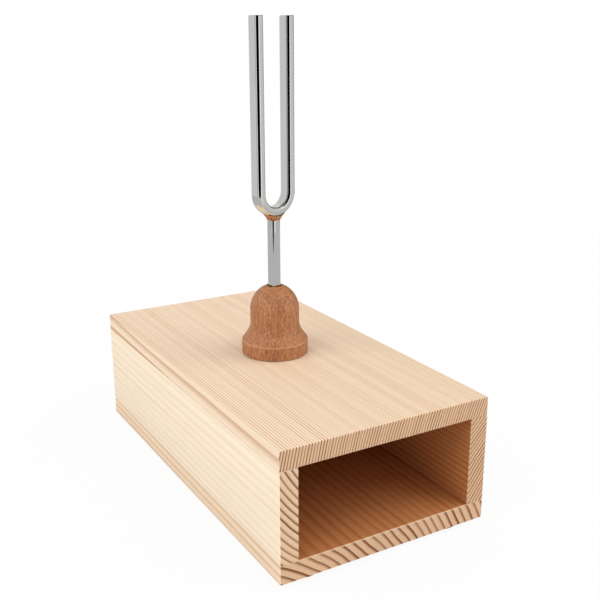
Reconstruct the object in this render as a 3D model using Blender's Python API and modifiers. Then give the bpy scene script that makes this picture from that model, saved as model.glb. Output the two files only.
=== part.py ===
"""Tuning fork on a wooden resonator box, modelled piece by piece at its real size.

The box is a quarter-wave resonator: open at the front, closed at the back. A turned holder stands
on its top board and takes the stem of the fork, which lifts out. Metres, +Z up. The origin is on
the surface that the feet stand on, under the middle of the box; the open end looks along -Y.
"""
import math

import bmesh
import bpy

MM = 0.001

# Resonator box
BOX_LENGTH = 183.0 * MM
BOX_WIDTH = 97.0 * MM
BOX_HEIGHT = 55.0 * MM
BOARD = 8.0 * MM
GLUE_GAP = 0.3 * MM
EASED_EDGE = 0.5 * MM

# Feet
FOOT_RADIUS = 6.0 * MM
FOOT_HEIGHT = 2.2 * MM
FOOT_EDGE = 0.5 * MM
FOOT_INSET_END = 8.7 * MM
FOOT_INSET_SIDE = 14.5 * MM

# Turned holder
HOLDER_RADIUS = 15.2 * MM
BAND_HEIGHT = 5.6 * MM
BAND_ROUND = 1.2 * MM
COVE_HEIGHT = 7.6 * MM
WAIST_RADIUS = 11.2 * MM
SHOULDER_HEIGHT = 20.0 * MM
DOME_HEIGHT = 11.9 * MM
SOCKET_DEPTH = 20.0 * MM
SOCKET_CLEARANCE = 0.25 * MM
SOCKET_LIP = 0.4 * MM

# Screw that holds the holder down from inside the box
SCREW_RADIUS = 1.75 * MM
SCREW_HEAD_RADIUS = 3.5 * MM
SCREW_HEAD_HEIGHT = 2.2 * MM
SCREW_IN_HOLDER = 8.0 * MM
SCREW_SLOT_WIDTH = 0.8 * MM
SCREW_SLOT_DEPTH = 0.7 * MM

# Fork
PRONG_THICKNESS = 4.0 * MM
PRONG_DEPTH = 6.4 * MM
PRONG_PITCH = 16.4 * MM
FORK_HEIGHT = 84.5 * MM
FORK_EDGE = 1.0 * MM
STEM_SIZE = 4.7 * MM
STEM_EDGE = 1.0 * MM
STEM_SHOWING = 30.8 * MM
TIP_EDGE = 0.25 * MM
BRAZE_HALF_LENGTH = 4.9 * MM
BRAZE_DROP = 0.6 * MM
BRAZE_EDGE = 0.2 * MM
BRAZE_FILLET = 0.85
STEM_END_GAP = 0.5 * MM
FORK_TURN = math.radians(10.0)

# Places worked out from the sizes above
BOX_FLOOR = FOOT_HEIGHT + GLUE_GAP
BOX_TOP = BOX_FLOOR + BOX_HEIGHT
HOLDER_FOOT = BOX_TOP + GLUE_GAP
SOCKET_RADIUS = (STEM_SIZE / 2 - STEM_EDGE) * math.sqrt(2) + STEM_EDGE + SOCKET_CLEARANCE
RIM_RADIUS = SOCKET_RADIUS + SOCKET_LIP
HOLDER_HEIGHT = SHOULDER_HEIGHT + DOME_HEIGHT * math.sqrt(1 - (RIM_RADIUS / WAIST_RADIUS) ** 2)
HOLDER_RIM = HOLDER_FOOT + HOLDER_HEIGHT
STEM_FOOT = HOLDER_RIM - SOCKET_DEPTH + STEM_END_GAP
STEM_TOP = HOLDER_RIM + STEM_SHOWING
BEND_RADIUS = PRONG_PITCH / 2
BEND_OUTER = BEND_RADIUS + PRONG_THICKNESS / 2
BEND_INNER = BEND_RADIUS - PRONG_THICKNESS / 2
BRAZE_FOOT = STEM_TOP + GLUE_GAP
BEND_BOTTOM = BRAZE_FOOT + BRAZE_DROP + GLUE_GAP
BEND_CENTRE = BEND_BOTTOM + BEND_OUTER
FORK_TOP = BEND_BOTTOM + FORK_HEIGHT

ARC_STEPS = 32
TURN_STEPS = 64
DOME_STEPS = 14
COVE_STEPS = 10
LIP_STEPS = 3
BRAZE_SEAT_STEPS = 16
BRAZE_SIDE_STEPS = 8
COVE_BOW = 0.35
LIP_TOP = 40.0
LIP_FIRST = 28.0
DRILL_POINT = 0.4
SCREW_POINT = 1.5
SLOT_REACH = 1.5


def clear_scene():
    """Empties the startup scene."""
    for thing in list(bpy.data.objects):
        bpy.data.objects.remove(thing, do_unlink=True)


def new_collection(name):
    """Adds a collection to the scene."""
    group = bpy.data.collections.new(name)
    bpy.context.scene.collection.children.link(group)
    return group


clear_scene()
PARTS = new_collection("tuning_fork_on_resonator_box")
CUTTERS = new_collection("cutters")


def material(name, colour, roughness, metallic=0.0):
    """A plain Principled material."""
    made = bpy.data.materials.new(name)
    made.use_nodes = True
    shader = made.node_tree.nodes["Principled BSDF"]
    shader.inputs["Base Color"].default_value = (*colour, 1.0)
    shader.inputs["Roughness"].default_value = roughness
    shader.inputs["Metallic"].default_value = metallic
    made.diffuse_color = (*colour, 1.0)
    return made


SPRUCE_TOP = material("spruce_top", (0.80, 0.60, 0.38), 0.5)
SPRUCE_BOTTOM = material("spruce_bottom", (0.74, 0.52, 0.31), 0.5)
SPRUCE_LEFT = material("spruce_left", (0.84, 0.68, 0.47), 0.5)
SPRUCE_RIGHT = material("spruce_right", (0.80, 0.62, 0.41), 0.5)
SPRUCE_BACK = material("spruce_back", (0.78, 0.58, 0.36), 0.5)
BEECH = material("turned_beech", (0.50, 0.25, 0.13), 0.45)
SCREW_STEEL = material("zinc_screw", (0.70, 0.70, 0.68), 0.35, 1.0)
PRONG_NICKEL = material("polished_nickel_prongs", (0.80, 0.80, 0.78), 0.08, 1.0)
STEM_NICKEL = material("polished_nickel_stem", (0.78, 0.78, 0.76), 0.10, 1.0)
COPPER_BRAZE = material("copper_braze", (0.55, 0.28, 0.15), 0.35, 1.0)
FOOT_RUBBER = material("black_rubber", (0.02, 0.02, 0.02), 0.8)


def add_object(name, mesh, group, finish=None):
    """Links a mesh as a named object, with its material."""
    made = bpy.data.objects.new(name, mesh)
    group.objects.link(made)
    if finish:
        mesh.materials.append(finish)
    return made


def as_cutter(made):
    """Shows a cutter as wires and keeps it out of the part."""
    made.hide_render = True
    made.display_type = "WIRE"
    return made


def box_mesh(name, low, high):
    """A box between two corners, started from a cube."""
    shape = bmesh.new()
    bmesh.ops.create_cube(shape, size=1.0)
    size = [high[i] - low[i] for i in range(3)]
    middle = [(high[i] + low[i]) / 2 for i in range(3)]
    bmesh.ops.scale(shape, vec=size, verts=shape.verts)
    bmesh.ops.translate(shape, vec=middle, verts=shape.verts)
    mesh = bpy.data.meshes.new(name)
    shape.to_mesh(mesh)
    shape.free()
    return mesh


def ease_edges(made, width, segments, weight_of):
    """Rounds an object's real edges; the rule gives each one's share of the width from its ends."""
    shape = bmesh.new()
    shape.from_mesh(made.data)
    layer = shape.edges.layers.float.new("bevel_weight_edge")
    for edge in shape.edges:
        if len(edge.link_faces) == 2 and edge.calc_face_angle() > math.radians(40.0):
            edge[layer] = weight_of(edge.verts[0].co, edge.verts[1].co)
    shape.to_mesh(made.data)
    shape.free()
    bevel = made.modifiers.new("eased edges", "BEVEL")
    bevel.width = width
    bevel.segments = segments
    bevel.limit_method = "WEIGHT"


def add_cut(made, cutter):
    """Cuts one object with another."""
    cut = made.modifiers.new(cutter.name, "BOOLEAN")
    cut.operation = "DIFFERENCE"
    cut.object = cutter
    cut.solver = "EXACT"
    return cut


def add_board(name, low, high, finish, outer_faces):
    """A board; its edges where two outer faces of the box meet are softened."""
    made = add_object(name, box_mesh(name, low, high), PARTS, finish)

    def weight_of(first, second):
        touched = [1 for axis, place in outer_faces
                   if abs(first[axis] - place) < 1e-6 and abs(second[axis] - place) < 1e-6]
        return 1.0 if len(touched) >= 2 else 0.0

    ease_edges(made, EASED_EDGE, 3, weight_of)
    return made


def turned(name, profile, group, finish=None):
    """A turned solid: a profile of (radius, height) points, run down its outer side, and a screw."""
    mesh = bpy.data.meshes.new(name)
    edges = [(i, i + 1) for i in range(len(profile) - 1)]
    mesh.from_pydata([(radius, 0.0, height) for radius, height in profile], edges, [])
    made = add_object(name, mesh, group, finish)
    lathe = made.modifiers.new("turning", "SCREW")
    lathe.axis = "Z"
    lathe.angle = 2 * math.pi
    lathe.steps = TURN_STEPS
    lathe.render_steps = TURN_STEPS
    lathe.use_merge_vertices = True
    lathe.merge_threshold = 0.00001
    lathe.use_smooth_shade = True
    return made


def flat_outline(name, points, half_thickness):
    """A closed flat outline in the XZ plane, filled and extruded both ways, as a mesh."""
    curve = bpy.data.curves.new(name, "CURVE")
    curve.dimensions = "2D"
    curve.fill_mode = "BOTH"
    curve.extrude = half_thickness
    spline = curve.splines.new("POLY")
    spline.points.add(len(points) - 1)
    for spot, (across, up) in zip(spline.points, points):
        spot.co = (across, up, 0.0, 1.0)
    spline.use_cyclic_u = True
    holder = bpy.data.objects.new(name, curve)
    bpy.context.scene.collection.objects.link(holder)
    bpy.context.view_layer.update()
    evaluated = holder.evaluated_get(bpy.context.evaluated_depsgraph_get())
    mesh = bpy.data.meshes.new_from_object(evaluated)
    bpy.data.objects.remove(holder)
    shape = bmesh.new()
    shape.from_mesh(mesh)
    bmesh.ops.remove_doubles(shape, verts=shape.verts, dist=1e-6)
    # the outline is drawn flat, then stood up so that its second coordinate is the height
    for spot in shape.verts:
        spot.co = (spot.co.x, -spot.co.z, spot.co.y)
    bmesh.ops.recalc_face_normals(shape, faces=shape.faces)
    shape.to_mesh(mesh)
    shape.free()
    return mesh


def arc(radius, start, end, steps, middle=(0.0, 0.0)):
    """Points along an arc, from one angle to another in degrees."""
    turns = [math.radians(start + (end - start) * i / steps) for i in range(steps + 1)]
    return [(middle[0] + radius * math.cos(turn), middle[1] + radius * math.sin(turn)) for turn in turns]


def make_box():
    """Five boards: top and bottom run the full width, the sides stand between them."""
    half_width = BOX_WIDTH / 2
    front = -BOX_LENGTH / 2
    back = BOX_LENGTH / 2
    outer = [(0, -half_width), (0, half_width), (1, front), (1, back), (2, BOX_FLOOR), (2, BOX_TOP)]
    low_inside = BOX_FLOOR + BOARD
    high_inside = BOX_TOP - BOARD
    add_board("bottom_board", (-half_width, front, BOX_FLOOR),
              (half_width, back, low_inside), SPRUCE_BOTTOM, outer)
    top = add_board("top_board", (-half_width, front, high_inside),
                    (half_width, back, BOX_TOP), SPRUCE_TOP, outer)
    side_low = low_inside + GLUE_GAP
    side_high = high_inside - GLUE_GAP
    inside = half_width - BOARD
    add_board("left_side_board", (-half_width, front, side_low),
              (-inside, back, side_high), SPRUCE_LEFT, outer)
    add_board("right_side_board", (inside, front, side_low),
              (half_width, back, side_high), SPRUCE_RIGHT, outer)
    back_edge = inside - GLUE_GAP
    add_board("back_board", (-back_edge, back - BOARD, side_low),
              (back_edge, back, side_high), SPRUCE_BACK, outer)
    return top


def make_feet():
    """Four rubber discs under the bottom board."""
    high = FOOT_HEIGHT
    profile = [(0.0, high), (FOOT_RADIUS, high)]
    profile += arc(FOOT_EDGE, 0.0, -90.0, 4, (FOOT_RADIUS - FOOT_EDGE, FOOT_EDGE))
    profile.append((0.0, 0.0))
    across = BOX_WIDTH / 2 - FOOT_INSET_SIDE
    along = BOX_LENGTH / 2 - FOOT_INSET_END
    places = {"foot_front_left": (-across, -along), "foot_front_right": (across, -along),
              "foot_back_left": (-across, along), "foot_back_right": (across, along)}
    for name, (x, y) in places.items():
        foot = turned(name, profile, PARTS, FOOT_RUBBER)
        foot.location = (x, y, 0.0)


def holder_profile():
    """The holder from its rim down: a dome, a straight waist, a cove and a band with a rounded lip."""
    points = [(RIM_RADIUS, HOLDER_HEIGHT)]
    start = math.asin(math.sqrt(1 - (RIM_RADIUS / WAIST_RADIUS) ** 2))
    for i in range(1, DOME_STEPS + 1):
        turn = start * (1 - i / DOME_STEPS)
        points.append((WAIST_RADIUS * math.cos(turn), SHOULDER_HEIGHT + DOME_HEIGHT * math.sin(turn)))
    lip_centre = (HOLDER_RADIUS - BAND_ROUND, BAND_HEIGHT)
    cove_foot = (lip_centre[0] + BAND_ROUND * math.cos(math.radians(LIP_TOP)),
                 lip_centre[1] + BAND_ROUND * math.sin(math.radians(LIP_TOP)))
    # the cove is a smooth run whose slope dies out at the waist
    for i in range(COVE_STEPS + 1):
        share = i / COVE_STEPS
        height = cove_foot[1] + COVE_HEIGHT * (1 - share)
        swell = share ** 2 * (1 + COVE_BOW - COVE_BOW * share)
        points.append((WAIST_RADIUS + (cove_foot[0] - WAIST_RADIUS) * swell, height))
    points += arc(BAND_ROUND, LIP_FIRST, 0.0, LIP_STEPS, lip_centre)
    points += [(HOLDER_RADIUS, 0.0), (0.0, 0.0)]
    return points


def socket_profile():
    """The drilled socket with its countersunk lip, run past the rim."""
    floor = HOLDER_HEIGHT - SOCKET_DEPTH
    above = HOLDER_HEIGHT + SOCKET_LIP
    lip = [(0.0, above), (SOCKET_RADIUS + 2 * SOCKET_LIP, above), (SOCKET_RADIUS, HOLDER_HEIGHT - SOCKET_LIP)]
    return lip + [(SOCKET_RADIUS, floor), (0.0, floor - SOCKET_RADIUS * DRILL_POINT)]


def make_holder(top_board):
    """The turned holder, its socket, and the screw that pulls it down onto the top board."""
    profile = [(0.0, HOLDER_HEIGHT)] + holder_profile()
    holder = turned("fork_holder", profile, PARTS, BEECH)
    holder.location.z = HOLDER_FOOT
    socket = as_cutter(turned("socket_cutter", socket_profile(), CUTTERS))
    socket.location.z = HOLDER_FOOT
    add_cut(holder, socket)
    head_low = BOX_TOP - BOARD
    head_top = head_low + SCREW_HEAD_HEIGHT
    tip = HOLDER_FOOT + SCREW_IN_HOLDER
    shank = [(0.0, tip), (SCREW_RADIUS, tip - SCREW_RADIUS * SCREW_POINT), (SCREW_RADIUS, head_top),
             (SCREW_HEAD_RADIUS, head_low), (0.0, head_low)]
    screw = turned("holder_screw", shank, PARTS, SCREW_STEEL)
    slot_half = SCREW_SLOT_WIDTH / 2
    reach = SCREW_HEAD_RADIUS * SLOT_REACH
    slot = box_mesh("screw_slot_cutter", (-reach, -slot_half, head_low - SCREW_SLOT_DEPTH),
                    (reach, slot_half, head_low + SCREW_SLOT_DEPTH))
    add_cut(screw, as_cutter(add_object("screw_slot_cutter", slot, CUTTERS)))
    gap = GLUE_GAP
    pilot = [(0.0, tip + gap), (SCREW_RADIUS + gap, tip - SCREW_RADIUS * SCREW_POINT + gap),
             (SCREW_RADIUS + gap, head_top + gap), (SCREW_HEAD_RADIUS + gap, head_low + gap),
             (SCREW_HEAD_RADIUS + gap, head_low - gap), (0.0, head_low - gap)]
    pilot_cutter = as_cutter(turned("pilot_cutter", pilot, CUTTERS))
    add_cut(holder, pilot_cutter)
    add_cut(top_board, pilot_cutter)


def make_fork():
    """The bent bar of the prongs, the stem and the braze that joins them, on one upright axis."""
    axis = bpy.data.objects.new("fork_axis", None)
    PARTS.objects.link(axis)
    axis.location = (0.0, 0.0, HOLDER_RIM)
    axis.rotation_euler.z = FORK_TURN
    bend = BEND_CENTRE - HOLDER_RIM
    top = FORK_TOP - HOLDER_RIM

    outline = [(-BEND_OUTER, top)]
    outline += arc(BEND_OUTER, 180.0, 360.0, ARC_STEPS, (0.0, bend))
    outline += [(BEND_OUTER, top), (BEND_INNER, top)]
    outline += arc(BEND_INNER, 360.0, 180.0, ARC_STEPS, (0.0, bend))
    outline.append((-BEND_INNER, top))
    bar = flat_outline("fork_prongs", outline, PRONG_DEPTH / 2)
    prongs = add_object("fork_prongs", bar, PARTS, PRONG_NICKEL)
    prongs.parent = axis
    tip = TIP_EDGE / FORK_EDGE

    def prong_weight(first, second):
        return tip if min(first.z, second.z) > top - FORK_EDGE else 1.0

    ease_edges(prongs, FORK_EDGE, 4, prong_weight)

    half = STEM_SIZE / 2
    stem = box_mesh("fork_stem", (-half, -half, STEM_FOOT - HOLDER_RIM), (half, half, STEM_TOP - HOLDER_RIM))
    stem = add_object("fork_stem", stem, PARTS, STEM_NICKEL)
    stem.parent = axis

    def stem_weight(first, second):
        return 1.0 if abs(first.z - second.z) > half else 0.0

    ease_edges(stem, STEM_EDGE, 4, stem_weight)

    seat = BEND_OUTER + GLUE_GAP
    wing = math.degrees(math.asin(BRAZE_HALF_LENGTH / seat))
    under = arc(seat, 270.0 + wing, 270.0 - wing, BRAZE_SEAT_STEPS, (0.0, bend))
    foot = BRAZE_FOOT - HOLDER_RIM
    tip_height = under[0][1]
    flare = []
    for i in range(1, BRAZE_SIDE_STEPS):
        share = i / BRAZE_SIDE_STEPS
        across = BRAZE_HALF_LENGTH - (BRAZE_HALF_LENGTH - half) * share
        flare.append((across, tip_height + (foot - tip_height) * share ** BRAZE_FILLET))
    lower = [(-across, up) for across, up in flare]
    lower += [(-half, foot), (half, foot)]
    lower += flare[::-1]
    braze = flat_outline("braze_joint", under + lower, PRONG_DEPTH / 2 - BRAZE_EDGE / 2)
    braze = add_object("braze_joint", braze, PARTS, COPPER_BRAZE)
    braze.parent = axis

    def braze_weight(first, second):
        return 0.0 if first.z > foot and second.z > foot else 1.0

    ease_edges(braze, BRAZE_EDGE, 2, braze_weight)


def main():
    """Builds the whole object."""
    top_board = make_box()
    make_feet()
    make_holder(top_board)
    make_fork()


main()
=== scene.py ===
# %% [markdown]
# # A tuning fork on its resonator box
# A tuning fork rings for a long time, but it moves very little air. On a hollow box that holds air
# of the right length the same fork can be heard across a room. This lesson dresses a measured model
# of such a pair: a plated fork, its turned holder, and a box of glued boards.
# The model comes in as a fixed frame, so every piece takes its size and place from it.

# %% Load the frame
import math
import bmesh
import bpy
import numpy as np
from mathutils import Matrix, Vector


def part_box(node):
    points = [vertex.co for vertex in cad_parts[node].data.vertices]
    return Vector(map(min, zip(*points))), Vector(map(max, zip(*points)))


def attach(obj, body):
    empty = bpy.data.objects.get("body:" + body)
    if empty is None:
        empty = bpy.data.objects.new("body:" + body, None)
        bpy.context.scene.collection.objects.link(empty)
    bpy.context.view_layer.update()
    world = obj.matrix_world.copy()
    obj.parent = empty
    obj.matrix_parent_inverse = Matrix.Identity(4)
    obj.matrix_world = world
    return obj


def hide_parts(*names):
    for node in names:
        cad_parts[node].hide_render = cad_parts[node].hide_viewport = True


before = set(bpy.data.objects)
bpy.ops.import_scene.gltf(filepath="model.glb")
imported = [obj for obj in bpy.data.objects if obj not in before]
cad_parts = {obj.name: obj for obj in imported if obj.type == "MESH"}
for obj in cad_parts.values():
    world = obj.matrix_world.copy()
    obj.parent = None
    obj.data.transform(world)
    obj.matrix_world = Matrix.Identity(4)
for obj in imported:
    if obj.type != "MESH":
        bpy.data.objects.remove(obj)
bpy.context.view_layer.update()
MM = 0.001
print("frame nodes:", ", ".join(sorted(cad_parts)))

# %% [markdown]
# ## Sizes from the frame
# A frame piece is known by its lowest and highest corners. They are enough for upright pieces, such
# as the height of the fork's bend. The fork was turned a little by hand in its socket, which hides
# its widths, so the bar's own sizes and the turn are written here as the maker would measure them.

# %% Read the sizes
def corners(node):
    """The lowest and the highest corner of a frame piece."""
    low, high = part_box(node)
    return np.array(low), np.array(high)


top_low, top_high = corners("top_board")
holder_low, holder_high = corners("fork_holder")
prong_low, prong_high = corners("fork_prongs")
stem_low, stem_high = corners("fork_stem")
FORK_TURN = math.radians(10.0)
PRONG_THICKNESS = 4.0 * MM
PRONG_DEPTH = 6.4 * MM
PRONG_PITCH = 16.4 * MM
STEM_SIZE = 4.7 * MM
bend_outer = PRONG_PITCH / 2 + PRONG_THICKNESS / 2
bend_centre = prong_low[2] + bend_outer
print("top board", np.round((top_high - top_low) / MM, 1), "mm")
print("holder", np.round((holder_high - holder_low) / MM, 1), "mm")
print("fork from", round(prong_low[2] / MM, 1), "to", round(prong_high[2] / MM, 1), "mm")

# %% [markdown]
# ## A mesh from rings
# A board, a bent bar and a fillet of metal are all one outline carried along a path. The outline at
# each place is a ring of points, and the rings together are a grid. Working out the grid as a whole
# array is short and exact, and it closes without seams. The volume that is printed is positive only
# if the faces point outwards.

# %% Rings to a closed piece
CREASE = 40.0


def ring_piece(name, rings, finish, body, node, crease=CREASE):
    """A closed tube: point j of ring i is rings[i, j]. Rings are joined in turn and both ends capped."""
    count, sides = rings.shape[:2]
    ring, side = np.meshgrid(np.arange(count - 1), np.arange(sides), indexing="ij")
    beside = (side + 1) % sides
    here = ring * sides
    above = here + sides
    quads = np.stack([here + side, here + beside, above + beside, above + side], -1)
    caps = [list(range(sides))[::-1], list(range((count - 1) * sides, count * sides))]
    mesh = bpy.data.meshes.new(name)
    mesh.from_pydata(rings.reshape(-1, 3).tolist(), [], quads.reshape(-1, 4).tolist() + caps)
    mesh.validate()
    mesh.shade_smooth()
    mesh.set_sharp_from_angle(angle=math.radians(crease))
    mesh.materials.append(finish)
    piece = bpy.data.objects.new(name, mesh)
    bpy.context.scene.collection.objects.link(piece)
    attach(piece, body)
    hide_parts(node)
    measured = bmesh.new()
    measured.from_mesh(mesh)
    volume = measured.calc_volume(signed=True)
    measured.free()
    print(name, len(mesh.polygons), "faces,", round(volume / MM ** 3), "cubic mm")
    return piece


# %% [markdown]
# A frame piece whose shape is right already only needs a better finish. Its mesh stays as it is.

# %% Refinish a frame piece
def refinish(node, finish):
    """Gives a frame piece a new material in place of its plain one."""
    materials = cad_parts[node].data.materials
    materials.clear()
    materials.append(finish)
    print(node, "is finished with", finish.name)


# %% [markdown]
# ## Shader maths as plain expressions
# Wood grain and polished metal are formulas of the place on the surface. One small class wraps a
# socket, so that such a formula can be written with ordinary operators. Each operator adds a node,
# and the reflected forms let a plain number stand on the left, as in 1 - mask.

# %% Wrap a socket
class Reading:
    """A value that varies over a surface. Operators on it add Math nodes."""

    def __init__(self, nodes, socket):
        self.nodes = nodes
        self.socket = socket

    def maths(self, operation, *values):
        return self.nodes.node("ShaderNodeMath", {"operation": operation}, dict(enumerate(values)))

    def __add__(self, other):
        return self.maths("ADD", self, other)

    def __radd__(self, other):
        return self.maths("ADD", other, self)

    def __sub__(self, other):
        return self.maths("SUBTRACT", self, other)

    def __rsub__(self, other):
        return self.maths("SUBTRACT", other, self)

    def __mul__(self, other):
        return self.maths("MULTIPLY", self, other)

    def __rmul__(self, other):
        return self.maths("MULTIPLY", other, self)

    def __pow__(self, other):
        return self.maths("POWER", self, other)

    def __rpow__(self, other):
        return self.maths("POWER", other, self)

    def __abs__(self):
        return self.maths("ABSOLUTE", self)


# %% [markdown]
# Every other node comes from one method that takes the node's type, its settings and the values of
# its sockets. Colours go through Mix nodes, because a Math node would turn them grey.

# %% Add nodes
MIX_SHARE, MIX_FIRST, MIX_SECOND, MIX_RESULT = 0, 6, 7, 2


class Nodes:
    """Adds nodes to a material or a world."""

    def __init__(self, tree):
        self.tree = tree

    def node(self, kind, settings, sockets, output=0):
        """One node: its settings come first, then a value or a link for each named socket."""
        made = self.tree.nodes.new(kind)
        for key, value in settings.items():
            setattr(made, key, value)
        for key, value in sockets.items():
            self.put(made.inputs[key], value)
        return Reading(self, made.outputs[output])

    def put(self, socket, value):
        """Links a reading to a socket, or sets a plain value on it."""
        if isinstance(value, Reading):
            self.tree.links.new(value.socket, socket)
        elif socket.type == "RGBA":
            socket.default_value = (*value, 1.0)
        else:
            socket.default_value = value

    def blend(self, share, first, second, way="MIX"):
        """Two colours mixed: first where the share is 0, second where it is 1."""
        colours = {MIX_SHARE: share, MIX_FIRST: first, MIX_SECOND: second}
        return self.node("ShaderNodeMix", {"data_type": "RGBA", "blend_type": way}, colours, MIX_RESULT)

    def times(self, first, second):
        """Two colours multiplied, channel by channel."""
        return self.blend(1.0, first, second, "MULTIPLY")

    def parts(self, vector):
        """The three parts of a vector, as numbers."""
        split = self.node("ShaderNodeSeparateXYZ", {}, {"Vector": vector}).socket.node
        return [Reading(self, part) for part in split.outputs]

    def rise(self, value, low, high):
        """A soft step: 0 below low, 1 above high. With low above high it falls instead."""
        span = {"Value": value, "From Min": low, "From Max": high}
        return self.node("ShaderNodeMapRange", {"interpolation_type": "SMOOTHSTEP"}, span)

    def noise(self, vector, scale=1.0, detail=2.0, roughness=0.5):
        """Soft random cells about 1 / scale wide."""
        sockets = {"Vector": vector, "Scale": scale, "Detail": detail, "Roughness": roughness}
        return self.node("ShaderNodeTexNoise", {}, sockets)

    def shader_mix(self, share, first, second):
        """Two shaders mixed by a share."""
        return self.node("ShaderNodeMixShader", {}, {0: share, 1: first, 2: second})

    def ray(self, kind):
        """1 for light that arrives on this kind of ray, 0 for the rest."""
        return self.node("ShaderNodeLightPath", {}, {}, kind)


# %% [markdown]
# A finish is a material on its way: its coordinates are the object's own, in metres, so that a
# pattern has its real size and stays on the piece when the piece moves.

# %% Start a finish
class Finish(Nodes):
    """A Principled material that is built node by node."""

    def __init__(self, name):
        self.material = bpy.data.materials.new(name)
        self.material.use_nodes = True
        super().__init__(self.material.node_tree)
        self.principled = self.tree.nodes["Principled BSDF"]
        self.output = self.tree.nodes["Material Output"].inputs["Surface"]
        self.coordinates = self.node("ShaderNodeTexCoord", {}, {}, "Object")

    def place(self, location=(0, 0, 0), rotation=(0, 0, 0), scale=(1, 1, 1)):
        """The coordinates scaled, then turned, then moved."""
        sockets = {"Vector": self.coordinates, "Location": location, "Rotation": rotation, "Scale": scale}
        return self.node("ShaderNodeMapping", {"vector_type": "POINT"}, sockets)

    def relief(self, height, depth, strength):
        """A bump for the Normal socket: its height is a share of the depth, which is in metres."""
        return self.node("ShaderNodeBump", {}, {"Height": height, "Distance": depth, "Strength": strength})

    def made(self, **sockets):
        """Fills the Principled sockets and hands over the finished material."""
        for key, value in sockets.items():
            self.put(self.principled.inputs[key.replace("_", " ")], value)
        print(self.material.name, len(self.tree.nodes), "nodes")
        return self.material


# %% [markdown]
# Colours are easiest to judge as a screen shows them, from 0 to 255. A shader wants amounts of
# light, so one function converts them by the screen's own curve.

# %% Screen colours
def colour(red, green, blue):
    """Linear light = ((share + 0.055) / 1.055) ^ 2.4, and share / 12.92 near black."""
    share = np.array([red, green, blue]) / 255.0
    linear = np.where(share <= 0.04045, share / 12.92, ((share + 0.055) / 1.055) ** 2.4)
    return tuple(float(part) for part in linear)


def dimmed(tint, share):
    """A colour times one number."""
    return tuple(part * share for part in tint)


print("mid grey is", np.round(colour(128, 128, 128), 3))

# %% [markdown]
# ## Where a board is cut, and the painted shade inside
# End grain drinks in varnish and light, so it is darker and redder than the face of the same board.
# The face's direction tells the two apart. The wood inside the box sits in warm shade, so its colour
# is darkened there as painted shade. Soft steps at the walls mark that space.

# %% Mark the end grain and the painted shade inside
END_FACING = (0.5, 0.8)
SKIN = 0.2 * MM
MOUTH = (0.3 * MM, 0.9 * MM)
inside_half_width = corners("right_side_board")[0][0]
inside_floor = corners("bottom_board")[1][2]
inside_back = corners("back_board")[0][1]
inside_ceiling = top_low[2]


def end_grain(wood, along):
    """1 on faces that cut across the grain, 0 on faces along it."""
    facing = wood.parts(wood.node("ShaderNodeNewGeometry", {}, {}, "True Normal"))["XYZ".index(along)]
    return wood.rise(abs(facing), *END_FACING)


def painted_shade_inside(wood):
    """Where the painted shade goes: 1 on the walls inside the box, the product of one soft step for each
    wall.
    """
    x, y, z = wood.parts(wood.coordinates)
    width = wood.rise(abs(x), inside_half_width + SKIN, inside_half_width + SKIN * 0.5)
    floor = wood.rise(z, inside_floor - SKIN * 1.2, inside_floor - SKIN * 0.6)
    ceiling = wood.rise(z, inside_ceiling + SKIN, inside_ceiling + SKIN * 0.5)
    front = wood.rise(y, top_low[1] + MOUTH[0], top_low[1] + MOUTH[1])
    back = wood.rise(y, inside_back + SKIN, inside_back + SKIN * 0.5)
    return width * floor * ceiling * front * back


print("inside height", round((inside_ceiling - inside_floor) / MM, 1), "mm")

# %% [markdown]
# ## Spruce
# Spruce grows in rings round its pith. Each ring is broad and pale, and ends in a thin dark line of
# late wood. A board is a slice through these rings, so its face and its end grain have to agree.
# A flat pattern on each face could not do that, so the rings are worked out in space: the distance
# from a pith line along the grain, divided by the ring width, with a slow waver. A board then only
# needs its own pith line: far to one side for the straight lines of a quarter-sawn top, and near
# the board for broad curved figures.

# %% Draw the rings
SLOW_SCALE = (14.0, 2.2, 14.0)
WAVER = 6.0 * MM
RIPPLE_SCALE = 6.0
RIPPLE = 0.35
LATE_WOOD = (0.30, 0.88)
RING_END = (0.93, 1.0)


def ring_lines(wood, at, slow, ring):
    """Ring number = (distance from the pith + waver) / ring width. Its fraction draws the dark line."""
    x, _, z = wood.parts(at)
    distance = (x * x + z * z) ** 0.5
    ripple = wood.noise(slow, RIPPLE_SCALE, 1.0) * RIPPLE
    rings = distance * (1.0 / ring) + wood.noise(slow) * (WAVER / ring) + ripple
    share = rings.maths("FRACT", rings)
    lines = wood.rise(share, *LATE_WOOD) * (1.0 - wood.rise(share, *RING_END))
    number = rings.maths("FLOOR", rings)
    uneven = wood.node("ShaderNodeTexWhiteNoise", {"noise_dimensions": "1D"}, {"W": number})
    return lines, uneven


print("late wood darkens from", LATE_WOOD[0], "to", LATE_WOOD[1], "of each ring")

# %% [markdown]
# A board's face is its early wood, darkened by the ring lines. Fine fibres and slow patches break up
# the evenness. On the end grain the lines are sharper and stronger. The softer early wood wears and
# swells a little against the hard lines, so the fibres and the lines also feed a shallow bump.

# %% Make spruce
END_TINT = (0.87, 0.72, 0.60)
END_LATE = colour(130, 74, 42)
END_LATE_SHARE = 0.80
INSIDE_PAINTED_SHADE = (0.67, 0.36, 0.18)
FACE_SHARPNESS = 1.3
END_SHARPER = 1.2
FAINTEST_RING = 0.45
END_CONTRAST = 1.5
FIBRE_SCALE = (900.0, 26.0, 900.0)
FIBRE_MARK = (0.42, 0.80)
FIBRE_SHADE = 0.35
PATCH_SCALE = (30.0, 5.0, 30.0)
PATCH_MARK = (0.45, 0.75)
PATCH_SHADE = 0.22
SHADED = 0.80
GRAIN_DEPTH = 0.06 * MM
GRAIN_STRENGTH = 0.6


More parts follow.
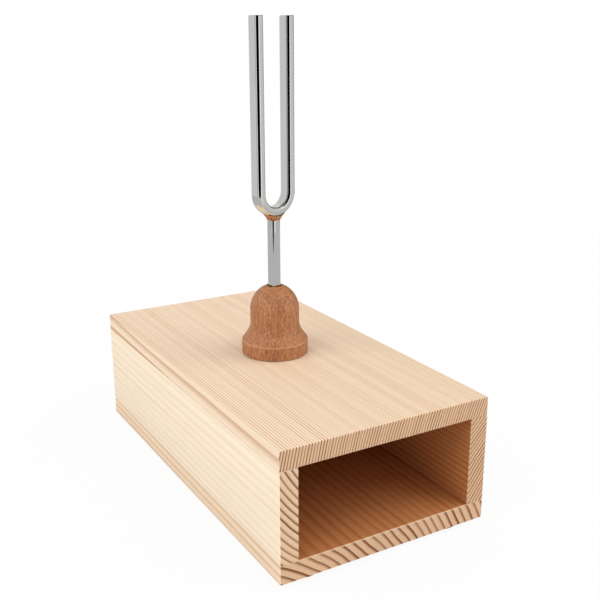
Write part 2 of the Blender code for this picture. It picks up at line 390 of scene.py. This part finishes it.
def spruce(name, pith, ring, early, late, contrast, along="Y", seed=0.0):
    """Early wood, darkened by ring lines, fibres and patches, toned on the end grain, and darkened inside by
    painted shade.
    """
    wood = Finish(name)
    turn = (0, 0, 0) if along == "Y" else (0, 0, math.pi / 2)
    at = wood.place((-pith[0], seed, -pith[1]), turn)
    slow = wood.place((seed, seed, 0), turn, SLOW_SCALE)
    lines, uneven = ring_lines(wood, at, slow, ring)
    end = end_grain(wood, along)
    sharp = lines ** (FACE_SHARPNESS + end * END_SHARPER)
    each_ring = FAINTEST_RING + uneven * (1.0 - FAINTEST_RING)
    strength = sharp * each_ring * (end * (END_CONTRAST - contrast) + contrast)
    fibres = wood.noise(wood.place(rotation=turn, scale=FIBRE_SCALE))
    patches = wood.noise(wood.place((seed, 0, 0), turn, PATCH_SCALE), detail=3.0)
    shade = wood.rise(fibres, *FIBRE_MARK) * FIBRE_SHADE + wood.rise(patches, *PATCH_MARK) * PATCH_SHADE
    tone = wood.blend(strength, early, late)
    tone = wood.blend(shade, tone, dimmed(early, SHADED))
    tone = wood.blend(end, tone, wood.times(tone, END_TINT))
    tone = wood.blend(strength * end * END_LATE_SHARE, tone, END_LATE)
    # Painted shade: the walls inside the box are darkened to a warm brown.
    tone = wood.blend(painted_shade_inside(wood), tone, wood.times(tone, INSIDE_PAINTED_SHADE))
    grain = wood.relief(fibres * 0.6 - strength * 0.5, GRAIN_DEPTH, GRAIN_STRENGTH)
    return wood.made(Base_Color=tone, Roughness=0.50 + fibres * 0.12, Normal=grain)


# %% [markdown]
# The top is quarter sawn, as a sounding board should be, with fine straight lines. The other boards
# are plainer. Each is given its pith, as a distance across its grain and a height above the floor,
# its ring width, its early and late wood, and how strongly its rings show.

# %% Choose each board's wood
top_wood = spruce("spruce_top_grain", (0.20, 0.0), 1.25 * MM,
                  colour(242, 218, 190), colour(200, 150, 102), 1.0)
bottom_wood = spruce("spruce_bottom_grain", (-0.085, -0.06), 3.2 * MM,
                     colour(243, 218, 188), colour(206, 150, 100), 0.9, seed=3.0)
left_wood = spruce("spruce_left_grain", (0.02, 0.085), 2.4 * MM,
                   colour(247, 230, 204), colour(216, 172, 128), 0.34, seed=7.0)
right_wood = spruce("spruce_right_grain", (0.20, -0.10), 1.5 * MM,
                    colour(240, 214, 182), colour(190, 136, 88), 0.9, seed=5.0)
back_wood = spruce("spruce_back_grain", (0.12, 0.10), 2.2 * MM,
                   colour(238, 212, 180), colour(198, 148, 98), 0.9, along="X", seed=9.0)

# %% [markdown]
# ## The boards
# The boards are glued flush. The frame leaves a thin gap along each glue line to keep its solids
# apart. Here each board is one outline carried from the front to the back, which reaches almost to
# the middle of its glue line, so that only a hairline is left. The outer edges are eased as with
# fine paper, and the glued edges stay crisp, so the outline has a radius for each corner.

# %% Draw a board's outline
EASE = 0.45 * MM
CRISP = 0.08 * MM
CORNER_STEPS = 4
QUARTER = math.pi / 2
CORNER_SIGNS = [(1, 1), (-1, 1), (-1, -1), (1, -1)]


def board_outline(half_width, half_height, radii):
    """Corner centre + radius · (cos, sin) over a quarter turn, with a radius for each of four corners."""
    turns = np.linspace(0, QUARTER, CORNER_STEPS)
    runs = []
    for quarter, ((right, up), radius) in enumerate(zip(CORNER_SIGNS, radii)):
        across = right * (half_width - radius) + radius * np.cos(turns + quarter * QUARTER)
        height = up * (half_height - radius) + radius * np.sin(turns + quarter * QUARTER)
        runs.append(np.stack([across, height], -1))
    return np.concatenate(runs)


print("a board's outline has", len(CORNER_SIGNS) * CORNER_STEPS, "points")

# %% [markdown]
# The outline is carried along the box. At both ends three rings draw it in by a fraction of a
# millimetre, which eases the sawn end.

# %% Shape a board
GLUE_GAP = 0.3 * MM
HAIRLINE = 0.11 * MM
END_SHARES = np.array([1.0, 0.3, 0.0])
END_PULL = 0.35
END_MARGIN = 1.2


def board(node, grow, radii, finish, rows=60):
    """The outline along Y, drawn in by a share of the easing at both ends. grow: left, right, down, up."""
    low, high = corners(node)
    low = low - np.array([grow[0], 0, grow[2]])
    high = high + np.array([grow[1], 0, grow[3]])
    middle = (low + high) / 2
    half = (high - low) / 2
    run_in = EASE * (1 - END_SHARES)
    straight = np.linspace(low[1] + EASE * END_MARGIN, high[1] - EASE * END_MARGIN, rows)
    along = np.concatenate([low[1] + run_in, straight, high[1] - run_in[::-1]])
    inset = EASE * END_PULL * np.concatenate([END_SHARES, np.zeros(rows), END_SHARES[::-1]])
    flat = board_outline(half[0], half[2], radii) * (1 - inset[:, None, None] / half[[0, 2]])
    depth = np.broadcast_to(along[:, None], flat.shape[:2])
    rings = np.stack([middle[0] + flat[..., 0], depth, middle[2] + flat[..., 1]], -1)
    return ring_piece(node + "_wood", rings[::-1], finish, "box", node, crease=50.0)


# %% [markdown]
# The top board keeps the frame's solid, because its edges are eased there already. The back board
# stands between the others, so it grows on all four sides and needs only a few rows.

# %% Lay the boards
reach = (GLUE_GAP - HAIRLINE) / 2
all_crisp = (CRISP, CRISP, CRISP, CRISP)
board("bottom_board", (0, 0, 0, reach), (CRISP, CRISP, EASE, EASE), bottom_wood)
board("left_side_board", (0, 0, reach, reach), all_crisp, left_wood)
board("right_side_board", (0, 0, reach, reach), all_crisp, right_wood)
board("back_board", (reach, reach, reach, reach), all_crisp, back_wood, rows=4)
refinish("top_board", top_wood)

# %% [markdown]
# ## The turned holder
# The holder is steamed beech, turned with its grain upright, so short dark flecks run up and down
# its flank. The frame's solid has the right outline, so only the finish is new. The flecks are
# stretched cells, thinned out by a slower noise. A light line along the rounded lip of the band is a
# painted highlight, where the edge would catch the light.

# %% Make beech
BEECH_TONES = (420.0, 420.0, 40.0)
BEECH_FIBRES = (1700.0, 1700.0, 230.0)
FLECK_CELLS = (1500.0, 1500.0, 420.0)
FLECK_GROUPS = (700.0, 700.0, 160.0)
FLECK_CORE = (0.16, 0.48)
FLECK_CHOICE = (0.36, 0.52)
FLECK_SHADE = 0.62
FINE_MARK = (0.34, 0.64)
TONE_MARK = (0.45, 0.68)
TONE_SHADE = 0.45
LIP_HEIGHT = 6.0 * MM
LIP_HIGHLIGHT_HALF = 0.5 * MM
LIP_PAINTED_HIGHLIGHT = 0.55
FLECK_DEPTH = 0.10 * MM


def beech():
    """Pink-brown fibres and slow tones, with flecks = (near a cell's middle) · (in a chosen group)."""
    wood = Finish("turned_beech_grain")
    tones = wood.noise(wood.place(scale=BEECH_TONES), detail=4.0, roughness=0.6)
    fine = wood.noise(wood.place(scale=BEECH_FIBRES), roughness=0.6)
    cell_sockets = {"Vector": wood.place(scale=FLECK_CELLS), "Scale": 1.0}
    cells = wood.node("ShaderNodeTexVoronoi", {"feature": "F1"}, cell_sockets, "Distance")
    groups = wood.noise(wood.place((3, 1, 2), scale=FLECK_GROUPS), detail=1.0)
    flecks = (1.0 - wood.rise(cells, *FLECK_CORE)) * wood.rise(groups, *FLECK_CHOICE)
    tone = wood.blend(wood.rise(fine, *FINE_MARK), colour(192, 134, 90), colour(168, 108, 66))
    tone = wood.blend(wood.rise(tones, *TONE_MARK) * TONE_SHADE, tone, colour(150, 92, 58))
    tone = wood.blend(flecks * FLECK_SHADE, tone, colour(104, 54, 30))
    # Painted highlight: a light line along the rounded lip of the band.
    height = wood.parts(wood.coordinates)[2]
    lip = holder_low[2] + LIP_HEIGHT
    lip_painted_highlight = wood.rise(height, lip - LIP_HIGHLIGHT_HALF, lip) * wood.rise(height, lip + LIP_HIGHLIGHT_HALF, lip)
    tone = wood.blend(lip_painted_highlight * LIP_PAINTED_HIGHLIGHT, tone, colour(214, 160, 120))
    grain = wood.relief(fine * 0.4 - flecks, FLECK_DEPTH, 0.7)
    return wood.made(Base_Color=tone, Roughness=0.42 + tones * 0.15, Normal=grain)


refinish("fork_holder", beech())

# %% [markdown]
# ## Plated metal
# The fork is bent from bar, polished and nickel plated. A clean metal takes nearly all its look from
# what it mirrors, so its finish is a bright metal with only a trace of polishing haze and a faint
# smear. The screw inside is zinc plated, which is duller by the same recipe.

# %% Make the plating
HAZE_SCALE = (1200.0, 1200.0, 90.0)
SMEAR_SCALE = (160.0, 160.0, 60.0)
SMEAR_MARK = (0.35, 0.75)
SMEAR_SHARE = 0.25
SMEAR_SHADE = 0.9
POLISH_DEPTH = 0.001 * MM


def plating(name, tint, roughness, haze):
    """Roughness = base + haze · fine upright streaks. The tint dips a little where a smear is."""
    plate = Finish(name)
    streak = plate.noise(plate.place(scale=HAZE_SCALE))
    smear = plate.noise(plate.place(scale=SMEAR_SCALE))
    dull = plate.rise(smear, *SMEAR_MARK) * SMEAR_SHARE
    tone = plate.blend(dull, tint, dimmed(tint, SMEAR_SHADE))
    polish = plate.relief(streak, POLISH_DEPTH, 0.1)
    return plate.made(Base_Color=tone, Roughness=roughness + streak * haze, Metallic=1.0, Normal=polish)


nickel = plating("polished_nickel", colour(238, 237, 234), 0.02, 0.03)
refinish("holder_screw", plating("zinc_plate", colour(205, 206, 204), 0.25, 0.15))

# %% [markdown]
# ## The buffed bar
# A polished bar has no hard corners and no dead flat faces, because the buffing wheel rounds both.
# A superellipse gives such an outline, and its soft corners catch the narrow dark and bright lines
# that make polished metal look real. Prongs, stem and braze all start from it. They are shaped
# square to the box, and then turned as the fork is turned in its socket.

# %% Buff the outline
BAR_POWER = 4.2
BAR_SIDES = 96


def buffed_outline(half_across, half_through):
    """A superellipse: across = a·|cos t|^(2/power), through = b·|sin t|^(2/power), each with its sign."""
    turns = np.linspace(0, 2 * math.pi, BAR_SIDES, endpoint=False) + math.pi / BAR_SIDES
    across, through = np.cos(turns), np.sin(turns)
    bend = 2 / BAR_POWER
    return np.stack([half_across * np.sign(across) * abs(across) ** bend,
                     half_through * np.sign(through) * abs(through) ** bend], -1)


def turned_fork(points):
    """Points turned about the upright axis by the fork's hand-set turn."""
    c, s = math.cos(FORK_TURN), math.sin(FORK_TURN)
    return points @ np.array([[c, s, 0], [-s, c, 0], [0, 0, 1]])


print("a bar's outline has", BAR_SIDES, "points")

# %% [markdown]
# ## The bent bar
# The prongs and the bend are one bar, so the outline is carried down one side, round a half circle
# and up the other. Three small rings round off each tip.

# %% Bend the bar
TIP_EDGE = 0.25 * MM
TIP_SHARES = np.array([1.0, 0.6, 0.25])
PRONG_ROWS = 22
BEND_ROWS = 73


def fork_bar():
    """Place = path + across · outward + through · depth. The outward direction turns with the bend."""
    radius = PRONG_PITCH / 2
    top = prong_high[2]
    straight = np.linspace(top, bend_centre, PRONG_ROWS + 2)[1:-1]
    heights = np.concatenate([top - TIP_EDGE * (1 - TIP_SHARES), straight])
    tips = np.concatenate([TIP_EDGE * TIP_SHARES ** 2, np.zeros(PRONG_ROWS)])
    turns = np.linspace(math.pi, 2 * math.pi, BEND_ROWS)
    round_bend = np.stack([np.cos(turns), np.sin(turns)], -1)
    left = np.tile([-1.0, 0.0], (len(heights), 1))
    outward = np.concatenate([left, round_bend, -left])
    centre_x = radius * outward[:, 0]
    centre_z = np.concatenate([heights, bend_centre + radius * round_bend[:, 1], heights[::-1]])
    draw_in = np.concatenate([tips, np.zeros(BEND_ROWS), tips[::-1]])[:, None]
    outline = buffed_outline(PRONG_THICKNESS / 2, PRONG_DEPTH / 2)
    across = outline[:, 0] * (1 - draw_in / (PRONG_THICKNESS / 2))
    through = outline[:, 1] * (1 - draw_in / (PRONG_DEPTH / 2))
    x = centre_x[:, None] + across * outward[:, 0, None]
    z = centre_z[:, None] + across * outward[:, 1, None]
    return turned_fork(np.stack([x, -through, z], -1))[::-1]


ring_piece("fork_prongs_bar", fork_bar(), nickel, "fork", "fork_prongs")

# %% [markdown]
# ## The stem
# The stem is a square bar of the same kind. Its lower end stands in the socket, and its foot is
# drawn in a little so that it finds its way in.

# %% Draw the stem
STEM_ROWS = 12
STEM_LEAD = 0.2 * MM
STEM_LEAD_SHARE = 0.93
STEM_FIRST_ROW = 1.0 * MM


def stem_bar():
    """The buffed square at rising heights, with the lowest ring a little smaller."""
    foot = stem_low[2]
    upper = np.linspace(foot + STEM_FIRST_ROW, stem_high[2], STEM_ROWS)
    heights = np.concatenate([[foot, foot + STEM_LEAD], upper])
    shrink = np.ones(len(heights))
    shrink[0] = STEM_LEAD_SHARE
    flat = buffed_outline(STEM_SIZE / 2, STEM_SIZE / 2) * shrink[:, None, None]
    upright = np.broadcast_to(heights[:, None], flat.shape[:2])
    return turned_fork(np.stack([flat[..., 0], flat[..., 1], upright], -1))


ring_piece("fork_stem_bar", stem_bar(), nickel, "fork", "fork_stem")

# %% [markdown]
# ## The braze
# Where the stem meets the bend, molten copper ran into the corner and froze. Its skin is part copper
# brown and part brass, in small patches, and it is left as it froze, so it is a little uneven.

# %% Melt the copper
BRAZE_PATCHES = (700.0, 700.0, 900.0)


def copper_braze():
    """Copper brown and brass, mixed in small patches with an uneven skin."""
    skin = Finish("copper_braze_skin")
    patch = skin.noise(skin.place(scale=BRAZE_PATCHES), detail=3.0)
    tone = skin.blend(skin.rise(patch, 0.40, 0.62), colour(170, 96, 58), colour(214, 170, 118))
    uneven = skin.relief(patch, 0.1 * MM, 0.5)
    return skin.made(Base_Color=tone, Roughness=0.28 + patch * 0.25, Metallic=0.85, Normal=uneven)


braze = copper_braze()

# %% [markdown]
# The braze has the shape of a thin saddle. Its rings start as the stem's own outline, widen along
# the bend, and rise until each point touches the underside of the bar.

# %% Freeze the saddle
BRAZE_HALF_LENGTH = 4.9 * MM
BRAZE_RINGS = 10
BRAZE_SKIN = 0.12 * MM
BRAZE_SIDE_INSET = 0.25 * MM
BRAZE_BITE = 0.05 * MM
BRAZE_DROP = 0.7 * MM
SPREAD_POWER = 1.8
SIDE_HASTE = 1.6
RISE_HASTE = 1.15


def saddle():
    """Half length = stem + spread · lift^power. Height = start + (underside - start) · lift, at most 1."""
    lift = np.linspace(0, 1, BRAZE_RINGS)
    start_half = STEM_SIZE / 2 + BRAZE_SKIN
    half_across = start_half + (BRAZE_HALF_LENGTH - STEM_SIZE / 2) * lift ** SPREAD_POWER
    side_room = PRONG_DEPTH / 2 - STEM_SIZE / 2 - BRAZE_SIDE_INSET
    half_through = start_half + side_room * np.minimum(1, lift * SIDE_HASTE)
    rings = np.stack([buffed_outline(across, through) for across, through in zip(half_across, half_through)])
    underside = bend_centre - np.sqrt(bend_outer ** 2 - rings[..., 0] ** 2) + BRAZE_BITE
    start = stem_high[2] - BRAZE_DROP
    height = start + (underside - start) * np.minimum(1, lift[:, None] * RISE_HASTE)
    return turned_fork(np.concatenate([rings, height[..., None]], -1))


ring_piece("braze_saddle", saddle(), braze, "fork", "braze_joint", crease=60.0)

# %% [markdown]
# ## Rubber feet
# The feet are small black discs that keep the box from rattling on a table. The frame has their
# shape. Rubber is dark and nearly dull, with the fine pebbled skin of its mould.

# %% Make rubber
PEBBLE_SCALE = (2500.0, 2500.0, 2500.0)
FEET = ("foot_front_left", "foot_front_right", "foot_back_left", "foot_back_right")


def rubber():
    """Near-black, mixed and roughened by a fine noise."""
    skin = Finish("black_rubber_skin")
    pebbles = skin.noise(skin.place(scale=PEBBLE_SCALE))
    tone = skin.blend(pebbles, colour(22, 22, 23), colour(40, 40, 41))
    dimples = skin.relief(pebbles, 0.05 * MM, 0.5)
    return skin.made(Base_Color=tone, Roughness=0.62 + pebbles * 0.2, Normal=dimples)


foot_skin = rubber()
for foot in FEET:
    refinish(foot, foot_skin)

# %% [markdown]
# ## The floor
# The pair stands on a white sweep. Seen by the camera the sweep is nearly all plain white, and the
# rest is real diffuse white that keeps a soft shadow near the box. Polished metal sees it as a mid
# grey, as it would see a studio floor that is less brightly lit away from the object.

# %% Lay the floor
FLOOR_REACH = 60.0
FLOOR_WHITE = (0.86, 0.86, 0.86)
FLOOR_MIRRORED = 0.50
FLOOR_GLOW = 0.93
SHADOW_REACH = (0.12, 0.60)


def staged_sheet(name, points, finish):
    """A flat sheet between four corners, which isn't part of the object."""
    mesh = bpy.data.meshes.new(name)
    mesh.from_pydata(points, [], [(0, 1, 2, 3)])
    mesh.materials.append(finish)
    sheet = bpy.data.objects.new(name, mesh)
    bpy.context.scene.collection.objects.link(sheet)
    return sheet


def glow(nodes, level):
    """A plain grey light of one level, from 0 for black to 1 for white."""
    return nodes.node("ShaderNodeEmission", {}, {"Color": (level, level, level), "Strength": 1.0})


def white_sweep():
    """Diffuse white, then grey for mirrored rays, then white for camera rays, more so away from the box."""
    floor = Finish("white_sweep")
    diffuse = Reading(floor, floor.principled.outputs["BSDF"])
    mirrored = floor.shader_mix(floor.ray("Is Glossy Ray"), diffuse, glow(floor, FLOOR_MIRRORED))
    x, y, _ = floor.parts(floor.coordinates)
    far = floor.rise((x * x + y * y) ** 0.5, *SHADOW_REACH)
    seen = floor.ray("Is Camera Ray") * (FLOOR_GLOW + far * (1.0 - FLOOR_GLOW))
    floor.put(floor.output, floor.shader_mix(seen, mirrored, glow(floor, 1.0)))
    return floor.made(Base_Color=FLOOR_WHITE, Roughness=0.9)


SWEEP = [(-FLOOR_REACH, -FLOOR_REACH, 0), (FLOOR_REACH, -FLOOR_REACH, 0),
         (FLOOR_REACH, FLOOR_REACH, 0), (-FLOOR_REACH, FLOOR_REACH, 0)]
staged_sheet("sweep", SWEEP, white_sweep())

# %% [markdown]
# ## The light of the studio
# The world gives an even light from all round at a plain level, as a white tent does. The camera
# sees it as white. Polished metal sees it as a dark grey, as it would see the unlit room beyond the
# cards that stand round it.

# %% Light the world
AMBIENT = 0.62
ROOM_MIRRORED = 0.22


def background(nodes, level):
    """A plain white background of one strength."""
    return nodes.node("ShaderNodeBackground", {}, {"Color": (1.0, 1.0, 1.0), "Strength": level})


world = bpy.data.worlds.new("studio")
bpy.context.scene.world = world
world.use_nodes = True
world.node_tree.nodes.remove(world.node_tree.nodes["Background"])
tent = Nodes(world.node_tree)
room = background(tent, ROOM_MIRRORED)
lighting = tent.shader_mix(tent.ray("Is Glossy Ray"), background(tent, AMBIENT), room)
all_round = tent.shader_mix(tent.ray("Is Camera Ray"), lighting, background(tent, 1.0))
tent.put(world.node_tree.nodes["World Output"].inputs["Surface"], all_round)
print("world", len(world.node_tree.nodes), "nodes")

# %% [markdown]
# Two large soft lamps, right and left of the box and above it, give the wood its modelling. They are
# kept out of reflections, so that the metal shows only the cards that are placed for it.

# %% Hang the lamps
LAMP_SIZE = 1.3
LAMP_AIM = (0.0, 0.0, 0.05)


def soft_lamp(name, place, watts):
    """A square lamp at a place, turned to its aim: tilt = atan(flat distance / drop), then its heading."""
    lamp = bpy.data.lights.new(name, "AREA")
    lamp.size = LAMP_SIZE
    lamp.energy = watts
    hung = bpy.data.objects.new(name, lamp)
    bpy.context.scene.collection.objects.link(hung)
    hung.visible_glossy = False
    hung.location = place
    across, along, up = np.array(LAMP_AIM) - np.array(place)
    tilt = math.atan2(math.hypot(across, along), -up)
    hung.rotation_euler = (tilt, 0.0, math.atan2(along, across) - QUARTER)
    print(name, watts, "W at", place)


soft_lamp("key", (0.9, -0.55, 0.9), 9.4)
soft_lamp("fill", (-1.0, -0.1, 0.9), 9.6)

# %% [markdown]
# ## The camera
# The camera stands to the left of the open end, a little above the box, and looks slightly down.
# Its lens follows from the focal length in pixels of a square picture that is 600 pixels wide.

# %% Place the camera
CAMERA_PLACE = (-186.1 * MM, -343.5 * MM, 202.0 * MM)
CAMERA_AZIMUTH = -30.2
CAMERA_TILT = 17.10
CAMERA_ROLL = 0.17
PICTURE_PIXELS = 600
FOCAL_PIXELS = 897.0
SENSOR = 36.0
NEAR_CLIP = 10.0 * MM

camera_data = bpy.data.cameras.new("camera")
camera_data.sensor_width = SENSOR
camera_data.lens = FOCAL_PIXELS / PICTURE_PIXELS * SENSOR
camera_data.clip_start = NEAR_CLIP
camera = bpy.data.objects.new("camera", camera_data)
bpy.context.scene.collection.objects.link(camera)
camera.location = CAMERA_PLACE
camera.rotation_euler = [math.radians(turn) for turn in (90.0 - CAMERA_TILT, CAMERA_ROLL, CAMERA_AZIMUTH)]
bpy.context.scene.camera = camera
bpy.context.scene.view_settings.view_transform = "Standard"
print("lens", round(camera_data.lens, 2), "mm")

# %% [markdown]
# ## Cards for the metal
# Someone who photographs polished metal lights it with cards: white ones for its faces, black ones
# for the crisp lines along its edges. These cards stand round the fork. Only reflections see them,
# so they light nothing and throw no shadow. A card's azimuth is in degrees from the front, to the
# right.

# %% Stand the cards
CARD_LOW = 0.0
CARD_HIGH = 0.8
# name, level, azimuth, distance, half width
CARDS = [("dark_card", 0.0, CAMERA_AZIMUTH, 0.42, 0.70),
         ("left_strip", 1.0, -98.0, 0.50, 0.05),
         ("left_grey", 0.28, -110.0, 0.52, 0.06),
         ("left_white", 0.62, -152.0, 0.55, 0.38),
         ("right_strip", 1.0, 37.0, 0.50, 0.05),
         ("right_white", 0.60, 60.0, 0.60, 0.23),
         ("right_dark", 0.04, 112.0, 0.52, 0.32),
         ("back_white", 0.70, 166.0, 0.60, 0.20)]


def card_finish(name, level):
    """A plain glow of one level."""
    face = Finish(name)
    face.put(face.output, glow(face, level))
    return face.material


def card(name, level, azimuth, distance, half_width):
    """An upright sheet at distance · (sin, -cos) of its azimuth, as wide to each side of that line."""
    turn = math.radians(azimuth)
    middle = np.array([math.sin(turn), -math.cos(turn), 0.0]) * distance
    across = np.array([math.cos(turn), math.sin(turn), 0.0]) * half_width
    low = np.array([0.0, 0.0, CARD_LOW])
    high = np.array([0.0, 0.0, CARD_HIGH])
    points = [middle - across + low, middle + across + low, middle + across + high, middle - across + high]
    sheet = staged_sheet(name, [tuple(point) for point in points], card_finish(name, level))
    sheet.visible_camera = False
    sheet.visible_diffuse = False
    sheet.visible_shadow = False
    sheet.visible_transmission = False


for facts in CARDS:
    card(*facts)
print(len(CARDS), "cards stand round the fork")
